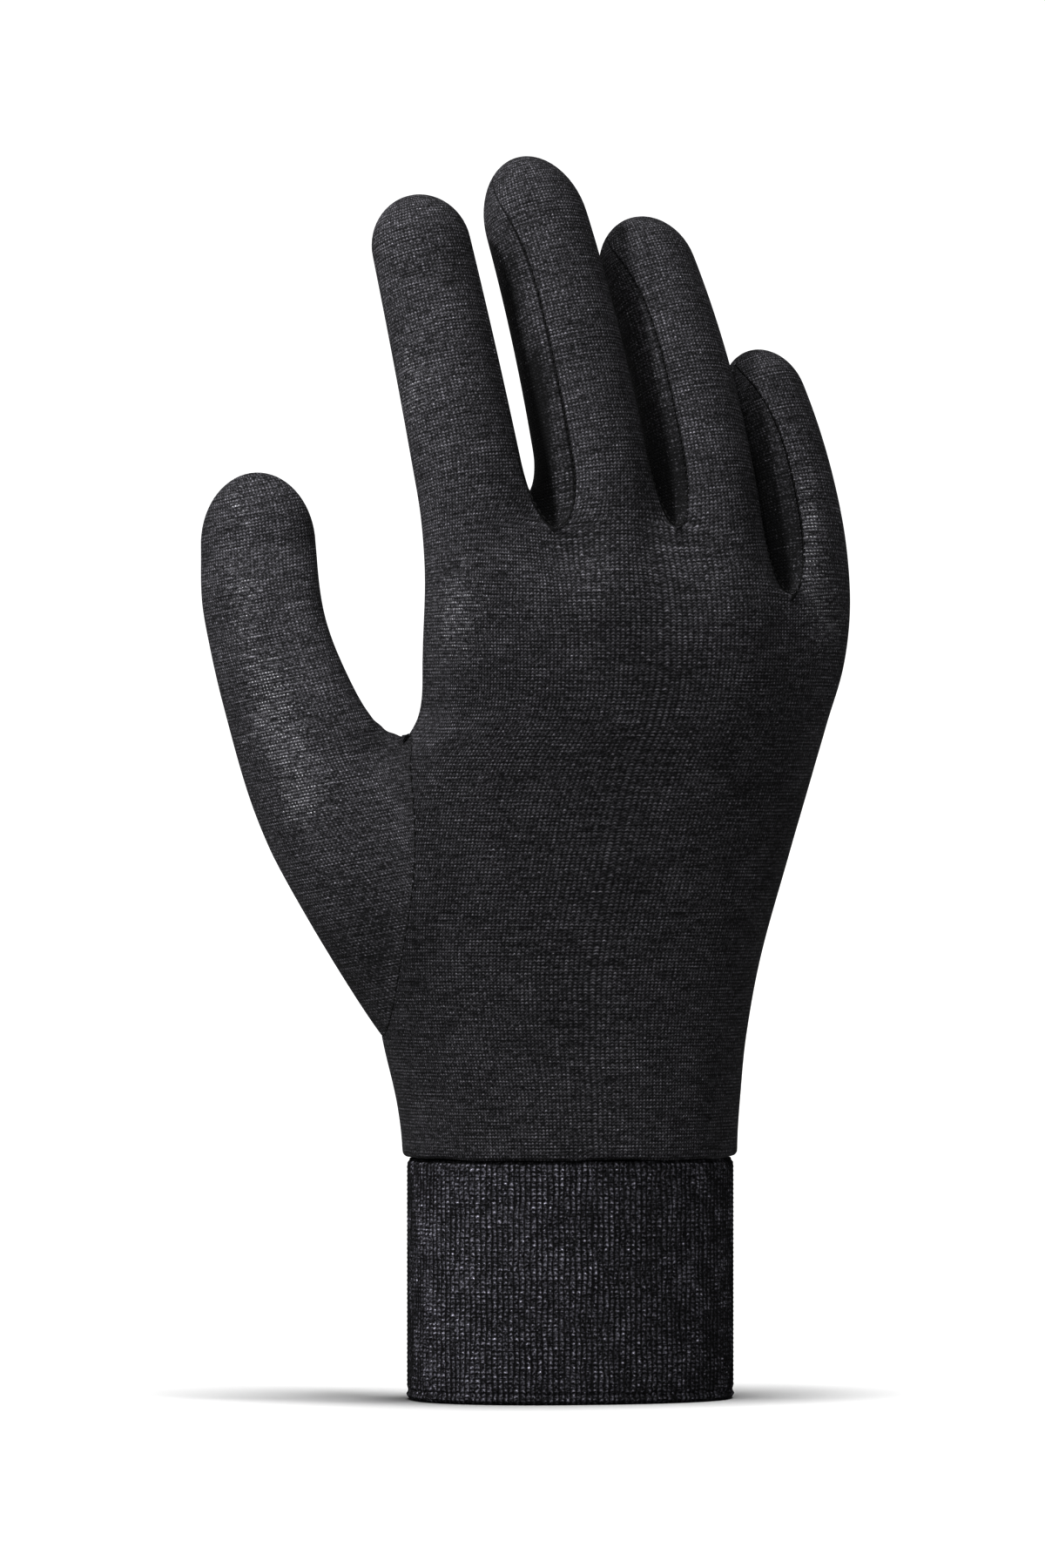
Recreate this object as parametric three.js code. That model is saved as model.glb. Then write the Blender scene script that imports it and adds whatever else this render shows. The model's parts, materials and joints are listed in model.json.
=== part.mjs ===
// Knitted glove liner for a right hand, in millimetres.
// It stands on its rib cuff with the fingers up (+Z), the back of the hand to the front (-Y) and the
// thumb to the left (-X). The origin is the middle of the cuff's mouth.
// Every cloth piece is a wall between an outer and an inner skin. Both skins come from one formula,
// whose inset is 0 on the outside and the cloth's thickness within.
import * as THREE from 'three';
import { mergeVertices } from 'three/addons/utils/BufferGeometryUtils.js';

// Cloth
const knitWall = 1.2;
const ribWall = 2.2;
const seamGap = 0.3;
const mitreGap = 1.0;

// Rib cuff, folded double at the mouth
const cuffHeight = 49.2;
const cuffWidth = 67;
const cuffDepth = 45.6;
const hemRound = 0.5;
const cuffTurn = 11;

// Hand, from the cuff seam to the crotch beside the middle finger
const handLength = 128;
const handWidth = 93.4;
const knuckleDepth = 25.4;
const handTurn = 24;
const handForward = 10.7;
const handShift = 13.2;
const squareness = 2.3;
const bodyBulge = 0.5;

// Fingers
const indexLength = 72.5;
const middleLength = 79.5;
const ringLength = 75.5;
const littleLength = 58;
const indexWidth = 21.2;
const middleWidth = 22.4;
const ringWidth = 21.2;
const littleWidth = 18.6;
const fingerFlatness = 0.94;
const fingerTaper = 0.12;
const fingerBlend = 20;
const crotchReach = 13;
const crotchSpread = 1.3;
const webRise = 6.5;
const sideSeam = 95;
const panelEdge = 52;
const stripTaper = 1.5;
const stripRounding = 3;
const tipPinhole = 0.07;

// Thumb, from the foot of its seam on the hand
const thumbOut = 41.5;
const thumbRise = 113.5;
const thumbDepth = 28;
const thumbBack = 23;
const thumbTip = 15;
const thumbBody = 0.86;
const thumbBlend = 0.3;
const holeLow = 24.8;
const holeLength = 61;
const holeFront = 35;
const holeBack = 40;

// Hand sections: up the hand, then how far each has widened, thinned, shifted, come forward and turned
// between the cuff and the full hand.
const handSections = [
  { up: 0.0, widened: 0.0, thinned: 0.0, shifted: 0.0, forward: 0.0, turned: 0.0 },
  { up: 0.09, widened: 0.11, thinned: 0.16, shifted: -0.03, forward: 0.09, turned: 0.12 },
  { up: 0.19, widened: 0.3, thinned: 0.35, shifted: -0.09, forward: 0.21, turned: 0.28 },
  { up: 0.32, widened: 0.56, thinned: 0.48, shifted: -0.07, forward: 0.37, turned: 0.44 },
  { up: 0.48, widened: 0.81, thinned: 0.58, shifted: 0.18, forward: 0.62, turned: 0.67 },
  { up: 0.62, widened: 0.94, thinned: 0.65, shifted: 0.5, forward: 0.81, turned: 0.85 },
  { up: 0.7, widened: 0.83, thinned: 0.69, shifted: 0.83, forward: 0.91, turned: 0.92 },
  { up: 0.79, widened: 0.93, thinned: 0.79, shifted: 0.96, forward: 1.04, turned: 1.0 },
  { up: 0.9, widened: 1.0, thinned: 0.96, shifted: 1.0, forward: 1.08, turned: 1.0 },
  { up: 1.0, widened: 0.99, thinned: 1.12, shifted: 0.91, forward: 0.86, turned: 1.0 },
  { up: 1.12, widened: 0.96, thinned: 1.22, shifted: 0.83, forward: 0.6, turned: 1.0 },
];

// The two sides of the hand and the three crotches: place round the hand's section in degrees, and
// height as a share of the hand.
const forks = [
  { name: 'radial_side', round: -sideSeam, up: 0.96 },
  { name: 'index_middle', round: -24, up: 1.0 },
  { name: 'middle_ring', round: 5, up: 1.003 },
  { name: 'ring_little', round: 37, up: 0.898 },
  { name: 'ulnar_side', round: sideSeam, up: 0.82 },
];

// Fingers: place across the hand as a share of its half width, roll of the back of the finger, lean to
// the side, and curl away from the back at the base and at the tip, in degrees. Cap is the rounded end
// as a share of the width.
const fingers = [
  {
    name: 'index', length: indexLength, width: indexWidth,
    across: -0.715, roll: 20, lean: -7.5, curlBase: 10, curlTip: 17, cap: 0.5,
  },
  {
    name: 'middle', length: middleLength, width: middleWidth,
    across: -0.132, roll: 34, lean: -4, curlBase: 9, curlTip: 25, cap: 0.66,
  },
  {
    name: 'ring', length: ringLength, width: ringWidth,
    across: 0.385, roll: 36, lean: -1.2, curlBase: 8, curlTip: 34, cap: 0.56,
  },
  {
    name: 'little', length: littleLength, width: littleWidth,
    across: 0.835, roll: 55, lean: 4, curlBase: 5, curlTip: 31, cap: 0.56,
  },
];

// Thumb sections: its inner edge and its outer edge, each as shares of thumbOut and thumbRise from the
// foot of the seam, then half the depth and the way back as shares of thumbDepth and thumbBack.
const thumbSections = [
  { at: 0.0, innerOut: -0.13, innerUp: 0.535, outerOut: 0.01, outerUp: 0.0, deep: 0.4, back: 0.0 },
  { at: 0.1, innerOut: -0.065, innerUp: 0.53, outerOut: 0.205, outerUp: 0.106, deep: 0.46, back: 0.06 },
  { at: 0.22, innerOut: 0.022, innerUp: 0.552, outerOut: 0.42, outerUp: 0.248, deep: 0.5, back: 0.15 },
  { at: 0.38, innerOut: 0.128, innerUp: 0.6, outerOut: 0.61, outerUp: 0.404, deep: 0.5, back: 0.3 },
  { at: 0.56, innerOut: 0.236, innerUp: 0.678, outerOut: 0.764, outerUp: 0.592, deep: 0.46, back: 0.5 },
  { at: 0.7, innerOut: 0.299, innerUp: 0.741, outerOut: 0.843, outerUp: 0.71, deep: 0.42, back: 0.65 },
  { at: 0.82, innerOut: 0.332, innerUp: 0.8, outerOut: 0.88, outerUp: 0.785, deep: 0.4, back: 0.78 },
  { at: 1.0, innerOut: 0.356, innerUp: 0.887, outerOut: 0.89, outerUp: 0.88, deep: 0.38, back: 1.0 },
];

// How finely the cloth is divided
const outerColumns = 7;
const innerColumns = 5;
const sideColumns = 3;
const holeRows = 8;
const rowsBelowHole = 2;
const rowsAboveHole = 3;
const fingerRows = 10;
const rowCrowding = 2.2;
const capRows = 4;
const stripCapRows = 2;
const thumbRows = 10;
const cuffColumns = 36;
const cuffRows = 5;

const { degToRad, lerp, clamp, smoothstep } = THREE.MathUtils;
const handFoot = cuffHeight + seamGap;
const heightAt = (up) => handFoot + up * handLength;
const blend = (a, b, share) => a.clone().lerp(b, share);

// Smooth curve through one column of a table, with level ends.
function along(rows, place, name, t) {
  const top = rows.length - 1;
  const at = clamp(t, rows[0][place], rows[top][place]);
  let k = 0;
  while (k < top - 1 && at > rows[k + 1][place]) k += 1;
  const slope = (i) => {
    const before = rows[Math.max(i - 1, 0)];
    const after = rows[Math.min(i + 1, top)];
    return (after[name] - before[name]) / (after[place] - before[place]);
  };
  const span = rows[k + 1][place] - rows[k][place];
  const u = (at - rows[k][place]) / span;
  const rise = u * u * (3 - 2 * u);
  return lerp(rows[k][name], rows[k + 1][name], rise)
    + span * slope(k) * u * (1 - u) * (1 - u)
    - span * slope(k + 1) * u * u * (1 - u);
}

// Rounded square section: sine and cosine raised to flatten the sides.
const flatten = (wave) => Math.sign(wave) * Math.abs(wave) ** (2 / squareness);

function ringPoint(centre, halfWidth, halfDepth, turn, round) {
  const across = flatten(Math.sin(degToRad(round))) * halfWidth;
  const front = flatten(Math.cos(degToRad(round))) * halfDepth;
  const spin = degToRad(turn);
  return new THREE.Vector3(
    centre.x + across * Math.cos(spin) + front * Math.sin(spin),
    centre.y + across * Math.sin(spin) - front * Math.cos(spin),
    centre.z,
  );
}

// Section of the hand at a height: its centre, half width, half depth and turn.
function handSection(height) {
  const up = (height - handFoot) / handLength;
  const share = (name) => along(handSections, 'up', name, up);
  return {
    centre: new THREE.Vector3(share('shifted') * handShift, -share('forward') * handForward, height),
    halfWidth: lerp(cuffWidth / 2 + bodyBulge, handWidth / 2, share('widened')),
    halfDepth: lerp(cuffDepth / 2 + bodyBulge, knuckleDepth / 2, share('thinned')),
    turn: lerp(cuffTurn, handTurn, share('turned')),
  };
}

function handPoint(height, round, inset) {
  const { centre, halfWidth, halfDepth, turn } = handSection(height);
  return ringPoint(centre, halfWidth - inset, halfDepth - inset, turn, round);
}

const lastFinger = fingers.length - 1;

// A finger's axis is an arc that starts level with the middle of its two forks.
fingers.forEach((finger, i) => {
  finger.foot = heightAt((forks[i].up + forks[i + 1].up) / 2);
  const { centre, halfWidth, turn } = handSection(finger.foot);
  const spin = degToRad(turn);
  finger.start = centre.clone().add(
    new THREE.Vector3(Math.cos(spin), Math.sin(spin), 0).multiplyScalar(finger.across * halfWidth),
  );
  const roll = degToRad(finger.roll);
  const lean = degToRad(finger.lean);
  const side = new THREE.Vector3(Math.cos(roll), Math.sin(roll), 0);
  const up = new THREE.Vector3(0, 0, 1);
  finger.palmward = new THREE.Vector3(-Math.sin(roll), Math.cos(roll), 0);
  finger.straight = up.clone().multiplyScalar(Math.cos(lean)).addScaledVector(side, Math.sin(lean));
  finger.side = side.clone().multiplyScalar(Math.cos(lean)).addScaledVector(up, -Math.sin(lean));
  finger.capLength = finger.cap * finger.width;
  finger.tip = finger.foot + finger.length;
});

function fingerPoint(finger, height, round, inset) {
  const risen = height - finger.foot;
  const first = degToRad(finger.curlBase);
  const bend = degToRad(finger.curlTip - finger.curlBase) / finger.length;
  const curl = first + bend * risen;
  const capStart = finger.length - finger.capLength;
  const intoCap = clamp((risen - capStart) / (finger.capLength - inset), 0, 1);
  const narrowed = Math.sqrt(1 - intoCap * intoCap);
  const taper = 1 + fingerTaper * (0.5 - risen / finger.length);
  const half = finger.width / 2 * taper;
  const across = (half - inset) * narrowed * Math.sin(degToRad(round));
  const front = (half * fingerFlatness - inset) * narrowed * Math.cos(degToRad(round));
  return finger.start.clone()
    .addScaledVector(finger.straight, (Math.sin(curl) - Math.sin(first)) / bend)
    .addScaledVector(finger.palmward, (Math.cos(first) - Math.cos(curl)) / bend)
    .addScaledVector(finger.side, across)
    .addScaledVector(finger.straight, front * Math.sin(curl))
    .addScaledVector(finger.palmward, -front * Math.cos(curl));
}

// Share of the finger in the blend of hand and finger: it comes in gently along the middle of the
// finger, and at a crotch it starts at once, which gives the crotch its U.
function fingerShare(aboveFork, edge) {
  const gentle = smoothstep(aboveFork, -fingerBlend, fingerBlend);
  const sudden = Math.sqrt(Math.sin(Math.PI / 2 * clamp(aboveFork / crotchReach, 0, 1)));
  return lerp(gentle, sudden, edge ** crotchSpread);
}

// Place of a row in a finger's rounded end, as a share of its length
const capShare = (row) => Math.sin(Math.PI / 2 * row / capRows) * (1 - tipPinhole * tipPinhole);

// The side strips between the fingers narrow to a point inside the fingertip's rounded end.
function stripShare(finger, height) {
  const end = finger.tip - finger.capLength * (1 - capShare(stripCapRows));
  const start = end - stripTaper * finger.width;
  return 1 - clamp((height - start) / (end - start), 0, 1) ** stripRounding;
}
const stripEdge = (finger, height) => lerp(90, panelEdge, stripShare(finger, height));

// Half of the seam's gap as an angle on a finger
function gapAngle(finger, height, inset) {
  const intoCap = clamp((height - finger.tip + finger.capLength) / (finger.capLength - inset), 0, 1);
  const radius = (finger.width / 2 - inset) * Math.sqrt(1 - intoCap * intoCap);
  return THREE.MathUtils.radToDeg(Math.asin(Math.min(seamGap / 2 / radius, 0.5)));
}

// Opening for the thumb: an oval about the side seam. Reach is 1 at its middle and 0 at its ends.
const holeFoot = handFoot + holeLow;
const holeMiddle = holeFoot + holeLength / 2;
function holeReach(height) {
  const off = (height - holeMiddle) / (holeLength / 2);
  return Math.sqrt(Math.max(1 - off * off, 0));
}

// Rows of a panel: shares of the way from the cuff seam to the forks, matched to the thumb opening,
// then shares of the way from the forks to the fingertip's rounded end, then that end.
const sideFork = heightAt(forks[0].up);
const handRows = [];
for (let r = 0; r < rowsBelowHole; r += 1) handRows.push(holeLow * r / rowsBelowHole);
for (let r = 0; r <= holeRows; r += 1) {
  handRows.push(holeLow + holeLength / 2 * (1 - Math.cos(Math.PI * r / holeRows)));
}
const aboveHole = sideFork - handFoot - holeLow - holeLength;
for (let r = 1; r <= rowsAboveHole; r += 1) {
  handRows.push(holeLow + holeLength + aboveHole * r / rowsAboveHole);
}
const forkRow = handRows.length - 1;
const panelRows = forkRow + fingerRows + capRows;

function rowHeight(row, fork, finger, inset) {
  if (row <= forkRow) return lerp(handFoot, fork, handRows[row] / (sideFork - handFoot));
  const capFoot = finger.tip - finger.capLength;
  if (row <= forkRow + fingerRows) {
    return lerp(fork, capFoot, ((row - forkRow) / fingerRows) ** rowCrowding);
  }
  return capFoot + (finger.capLength - inset) * capShare(row - forkRow - fingerRows);
}

// Places round the hand where a finger's strip of a panel starts and ends. The back runs from the thumb
// side to the far side, the palm the other way, and both keep clear of the side seams and the thumb.
const sideGap = THREE.MathUtils.radToDeg(seamGap / knuckleDepth);
function handEdges(i, palm, height) {
  const reach = holeReach(height);
  if (!palm) {
    return [
      i === 0 ? -sideSeam + sideGap + reach * holeFront : forks[i].round,
      i === lastFinger ? sideSeam - sideGap : forks[i + 1].round,
    ];
  }
  return [
    i === lastFinger ? sideSeam + sideGap : 180 - forks[i + 1].round,
    i === 0 ? 360 - sideSeam - sideGap - reach * holeBack : 180 - forks[i].round,
  ];
}

// The same places round the finger
function fingerEdges(i, palm, height, inset) {
  const gap = gapAngle(fingers[i], height, inset);
  const edge = stripEdge(fingers[i], height);
  if (!palm) return [gap - (i === 0 ? sideSeam : edge), (i === lastFinger ? sideSeam : edge) - gap];
  return [
    (i === lastFinger ? sideSeam : 180 - edge) + gap,
    (i === 0 ? 360 - sideSeam : 180 + edge) - gap,
  ];
}

// One point of the back or the palm panel on one finger's strip; column runs 0 to 1 round the finger.
function panelPoint(i, palm, row, column, inset) {
  const finger = fingers[i];
  const sides = palm ? [i + 1, i] : [i, i + 1];
  const crotch = sides.map((k) => k > 0 && k < forks.length - 1);
  const sideForks = sides.map((k, end) => (
    heightAt(forks[k].up) + (crotch[end] ? (palm ? webRise : 0) - inset : 0)
  ));
  const fork = lerp(sideForks[0], sideForks[1], smoothstep(column, 0, 1));
  const height = rowHeight(row, fork, finger, inset);
  const handRound = lerp(...handEdges(i, palm, height), column);
  const fingerRound = lerp(...fingerEdges(i, palm, height, inset), column);
  const toEdge = Math.abs(column * 2 - 1);
  const share = fingerShare(height - fork, crotch[column < 0.5 ? 0 : 1] ? toEdge : 0);
  return blend(handPoint(height, handRound, inset), fingerPoint(finger, height, fingerRound, inset), share);
}

// Point of the strip between two fingers. Row runs down the first finger's side, through the crotch and
// up the next finger's side; column runs 0 to 1 from the palm to the back.
function stripPoint(i, row, column, inset) {
  const fork = forks[i + 1];
  const crotchRow = fingerRows + stripCapRows;
  const down = row <= crotchRow;
  const finger = fingers[down ? i : i + 1];
  const depth = handSection(heightAt(fork.up)).halfDepth * 2;
  const inDepth = lerp(mitreGap / depth, 1 - mitreGap / depth, 1 - column);
  const crotch = heightAt(fork.up) + webRise * inDepth - inset;
  const height = rowHeight(forkRow + Math.abs(row - crotchRow), crotch, finger, inset);
  const front = handPoint(height, fork.round, inset);
  const back = handPoint(height, 180 - fork.round, inset);
  const web = blend(front, back, inDepth);
  const gap = gapAngle(finger, height, inset);
  const edge = stripEdge(finger, height);
  const half = Math.max(90 - edge - gap, 0);
  const round = (90 + half * (1 - 2 * column)) * (down ? 1 : -1);
  return blend(web, fingerPoint(finger, height, round, inset), fingerShare(height - crotch, 1));
}

// Point of the thumb. Row runs 0 to 1 from its seam to the tip, round 0 to 1 from the crotch over the
// front to the outer edge and back behind.
function thumbPoint(row, round, inset) {
  const turn = round * Math.PI * 2;
  const inFront = Math.sin(turn) >= 0;
  const height = holeMiddle + (holeLength / 2 - seamGap) * Math.cos(turn);
  const reach = Math.abs(Math.sin(turn)) * ((inFront ? holeFront : holeBack) - sideGap);
  const seam = handPoint(height, -sideSeam + (inFront ? reach : -reach), inset);

  const at = Math.min(row / thumbBody, 1);
  const share = (name) => along(thumbSections, 'at', name, at);
  const foot = handPoint(holeFoot, -sideSeam, 0);
  const edge = (out, up) => new THREE.Vector3(
    foot.x - out * thumbOut,
    foot.y + share('back') * thumbBack,
    foot.z + up * thumbRise,
  );
  const inner = edge(share('innerOut'), share('innerUp'));
  const outer = edge(share('outerOut'), share('outerUp'));
  const middle = blend(inner, outer, 0.5);
  const half = inner.clone().sub(middle);
  const intoCap = clamp((row - thumbBody) / (1 - thumbBody), 0, 1) * Math.PI / 2;
  const tipward = new THREE.Vector3(-half.z, 0, half.x).normalize().multiplyScalar(
    half.x > 0 ? 1 : -1,
  );
  const width = (half.length() - inset) * Math.cos(intoCap);
  const depth = (share('deep') * thumbDepth - inset) * Math.cos(intoCap);
  const face = new THREE.Vector3(Math.sin(degToRad(handTurn)), -Math.cos(degToRad(handTurn)), 0);
  const body = middle.clone()
    .addScaledVector(half.clone().normalize(), width * Math.cos(turn))
    .addScaledVector(face, depth * Math.sin(turn))
    .addScaledVector(tipward, (thumbTip - inset) * Math.sin(intoCap));
  return blend(seam, body, smoothstep(at, 0, thumbBlend));
}

// Point of the cuff's wall, at a depth within its outer skin and a height.
function cuffPoint(column, out, height) {
  return ringPoint(
    new THREE.Vector3(0, 0, height),
    cuffWidth / 2 - out,
    cuffDepth / 2 - out,
    cuffTurn,
    column * 360 / cuffColumns,
  );
}

const quad = (faces, a, b, c, d) => faces.push(a, b, c, a, c, d);

// Outer and inner skin of a grid, and the walls along its open edges. Point is a function of row, column
// and inset; the walls say at which rows the first and last column are open.
function addSkins(faces, point, rows, columns, walls) {
  const out = (r, c) => point(r, c, 0);
  const within = (r, c) => point(r, c, knitWall);
  for (let r = 0; r < rows; r += 1) {
    for (let c = 0; c < columns; c += 1) {
      quad(faces, out(r, c), out(r, c + 1), out(r + 1, c + 1), out(r + 1, c));
      quad(faces, within(r, c), within(r + 1, c), within(r + 1, c + 1), within(r, c + 1));
    }
    if (walls.first(r)) quad(faces, out(r, 0), out(r + 1, 0), within(r + 1, 0), within(r, 0));
    if (walls.last(r)) {
      quad(faces, out(r + 1, columns), out(r, columns), within(r, columns), within(r + 1, columns));
    }
  }
  for (let c = 0; c < columns; c += 1) {
    quad(faces, out(0, c + 1), out(0, c), within(0, c), within(0, c + 1));
    quad(faces, out(rows, c), out(rows, c + 1), within(rows, c + 1), within(rows, c));
  }
}

function pieceMesh(name, faces, colour) {
  const flat = new THREE.BufferGeometry().setFromPoints(faces);
  const geometry = mergeVertices(flat, 1e-4);
  const corners = geometry.index.array;
  const kept = [];
  for (let k = 0; k < corners.length; k += 3) {
    const [a, b, c] = corners.subarray(k, k + 3);
    if (a !== b && b !== c && c !== a) kept.push(a, b, c);
  }
  geometry.setIndex(kept);
  geometry.computeVertexNormals();
  const material = new THREE.MeshStandardMaterial({ color: colour, roughness: clothRoughness, metalness: 0 });
  const mesh = new THREE.Mesh(geometry, material);
  mesh.name = name;
  return mesh;
}

// The back or the palm: four strips, one to a finger, that are one cloth below the crotches.
function panel(name, palm, colour) {
  const faces = [];
  fingers.forEach((finger, i) => {
    const atSide = i === 0 || i === lastFinger;
    const columns = atSide ? outerColumns : innerColumns;
    const point = (r, c, inset) => panelPoint(i, palm, r, c / columns, inset);
    const sideFirst = palm ? i === lastFinger : i === 0;
    const sideLast = palm ? i === 0 : i === lastFinger;
    addSkins(faces, point, panelRows, columns, {
      first: (r) => sideFirst || r >= forkRow,
      last: (r) => sideLast || r >= forkRow,
    });
  });
  return pieceMesh(name, faces, colour);
}

function fingerStrip(i, colour) {
  const faces = [];
  const point = (r, c, inset) => stripPoint(i, r, c / sideColumns, inset);
  addSkins(faces, point, 2 * (fingerRows + stripCapRows), sideColumns, { first: () => true, last: () => true });
  return pieceMesh(`fourchette_${forks[i + 1].name}`, faces, colour);
}

// The thumb is a closed bag: its skins meet only in the wall round the seam.
function thumbMesh(colour) {
  const faces = [];
  const columns = 2 * holeRows;
  const rows = thumbRows + capRows;
  const point = (r, c, inset) => {
    const at = r <= thumbRows
      ? thumbBody * r / thumbRows
      : lerp(thumbBody, 1, (r - thumbRows) / capRows);
    return thumbPoint(at, -(c % columns) / columns, inset);
  };
  for (let c = 0; c < columns; c += 1) {
    for (let r = 0; r < rows; r += 1) {
      const outer = [point(r, c, 0), point(r, c + 1, 0), point(r + 1, c + 1, 0), point(r + 1, c, 0)];
      const inner = [
        point(r, c, knitWall), point(r, c + 1, knitWall),
        point(r + 1, c + 1, knitWall), point(r + 1, c, knitWall),
      ];
      if (r < rows - 1) {
        quad(faces, ...outer);
        quad(faces, inner[0], inner[3], inner[2], inner[1]);
      } else {
        faces.push(outer[0], outer[1], outer[2]);
        faces.push(inner[0], inner[2], inner[1]);
      }
    }
    quad(faces, point(0, c + 1, 0), point(0, c, 0), point(0, c, knitWall), point(0, c + 1, knitWall));
  }
  return pieceMesh('thumb', faces, colour);
}

// The cuff's wall: straight outside and inside, with a rounded hem and a flat edge that it stands on.
function cuffMesh(colour) {
  const corner = hemRound * (1 - Math.SQRT1_2);
  const outside = [[hemRound, 0], [corner, corner]];
  const inside = [[ribWall - hemRound, 0], [ribWall - corner, corner]];
  for (let r = 0; r <= cuffRows; r += 1) {
    const height = lerp(hemRound, cuffHeight, r / cuffRows);
    outside.push([0, height]);
    inside.push([ribWall, height]);
  }
  const profile = [...outside, ...inside.reverse()];
  const faces = [];
  for (let c = 0; c < cuffColumns; c += 1) {
    const next = (c + 1) % cuffColumns;
    profile.forEach(([out, height], k) => {
      const [nextOut, nextHeight] = profile[(k + 1) % profile.length];
      quad(
        faces,
        cuffPoint(c, out, height),
        cuffPoint(next, out, height),
        cuffPoint(next, nextOut, nextHeight),
        cuffPoint(c, nextOut, nextHeight),
      );
    });
  }
  return pieceMesh('rib_cuff', faces, colour);
}

const charcoal = 0x2f2e30;
const charcoalShade = 0x29282a;
const ribCharcoal = 0x2b2a2e;
const clothRoughness = 0.95;

const glove = new THREE.Group();
glove.add(cuffMesh(ribCharcoal));
glove.add(panel('back_panel', false, charcoal));
glove.add(panel('palm_panel', true, charcoalShade));
for (let i = 0; i < lastFinger; i += 1) glove.add(fingerStrip(i, charcoalShade));
glove.add(thumbMesh(charcoal));

export default glove;
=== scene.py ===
"""Knitted glove liner for a right hand, standing on its rib cuff with the fingers up.

Shapes are worked out in millimetres from the same named sizes and tables as the CAD solids, and stitch()
turns them into metres. X runs from the thumb to the little finger, Y from the back to the palm, Z up.
"""

import json
from collections import namedtuple

import bmesh
import bpy
import numpy as np
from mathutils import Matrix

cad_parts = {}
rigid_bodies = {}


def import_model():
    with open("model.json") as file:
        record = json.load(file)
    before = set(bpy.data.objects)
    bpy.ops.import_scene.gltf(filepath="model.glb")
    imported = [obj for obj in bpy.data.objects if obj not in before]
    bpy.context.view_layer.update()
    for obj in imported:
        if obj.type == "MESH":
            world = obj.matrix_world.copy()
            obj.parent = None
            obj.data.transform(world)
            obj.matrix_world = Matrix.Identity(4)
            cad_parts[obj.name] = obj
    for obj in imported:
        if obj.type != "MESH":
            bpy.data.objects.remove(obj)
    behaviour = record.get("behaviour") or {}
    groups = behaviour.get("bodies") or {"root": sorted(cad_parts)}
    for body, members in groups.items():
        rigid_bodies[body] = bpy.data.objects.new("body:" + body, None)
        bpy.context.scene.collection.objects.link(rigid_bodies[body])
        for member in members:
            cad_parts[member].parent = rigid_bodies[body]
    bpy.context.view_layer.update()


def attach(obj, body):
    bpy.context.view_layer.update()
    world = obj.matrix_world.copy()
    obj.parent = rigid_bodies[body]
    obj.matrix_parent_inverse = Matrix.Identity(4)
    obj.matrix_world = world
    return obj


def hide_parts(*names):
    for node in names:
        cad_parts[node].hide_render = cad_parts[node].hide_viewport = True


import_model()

# RIB CUFF
# A tube of thick rib, knitted double, which grips the wrist. Its wales stand up as round cords of about
# 1.1 mm with a hollow between them, and each stitch shows as a small bead.
cuff_height = 49.2
cuff_width = 67
cuff_depth = 45.6
cuff_turn = 11
squareness = 2.3
rib_wall = 2.2
rib_pitch = 1.14
rib_relief = 0.34
rib_course = 0.95
bead_relief = 0.1
bead_fade = 0.6
hem_round = 1.1
hem_rows = 9
outline_steps = 3600
samples_per_rib = 4
inner_rows = 10
sewn_within = 0.004
crushed_edge = 0.001
mm = 0.001

# Where the cuff's outside is drawn in, or swells out (less than 0): the height of the place, how far it
# reaches up and down, and how deep it is
CuffTuck = namedtuple("CuffTuck", "place up tall deep")
cuff_tucks = [
    CuffTuck("top_edge", cuff_height, 0.7, 0.6),
    CuffTuck("hem_groove", 1.9, 0.35, 0.3),
    CuffTuck("hem_swell", 1.0, 0.5, -0.12),
]


def flatten(wave):
    """Sine or cosine of a rounded square: its size is raised to 2 / squareness and its sign kept."""
    return np.sign(wave) * np.abs(wave) ** (2 / squareness)


def ring(centre, half_width, half_depth, turn, around):
    """Points of a rounded square section at the angles around, from the front, turned about its centre."""
    across = flatten(np.sin(np.radians(around))) * half_width
    front = flatten(np.cos(np.radians(around))) * half_depth
    spin = np.radians(turn)
    x = centre[..., 0] + across * np.cos(spin) + front * np.sin(spin)
    y = centre[..., 1] + across * np.sin(spin) - front * np.cos(spin)
    return np.stack(np.broadcast_arrays(x, y, centre[..., 2]), -1)


def out_of(points):
    """Unit normals of a grid: the cross product of its slopes along the columns and along the rows."""
    slope = np.cross(np.gradient(points, axis=1), np.gradient(points, axis=0))
    return slope / np.maximum(np.linalg.norm(slope, axis=-1, keepdims=True), 1e-9)


def distance(points, axis):
    """Distance along the rows or the columns of a grid from the first of them."""
    steps = np.linalg.norm(np.diff(points, axis=axis), axis=-1)
    start = np.zeros_like(np.take(steps, [0], axis))
    return np.concatenate([start, np.cumsum(steps, axis=axis)], axis=axis)


def grid_faces(shape, start):
    """Corners of every quad of a grid, or of many grids of one size, whose first point is number start."""
    number = start + np.arange(np.prod(shape)).reshape(shape)
    low, high = number[..., :-1, :], number[..., 1:, :]
    corners = (low[..., :-1], low[..., 1:], high[..., 1:], high[..., :-1])
    return np.stack([c.ravel() for c in corners], -1)


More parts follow.
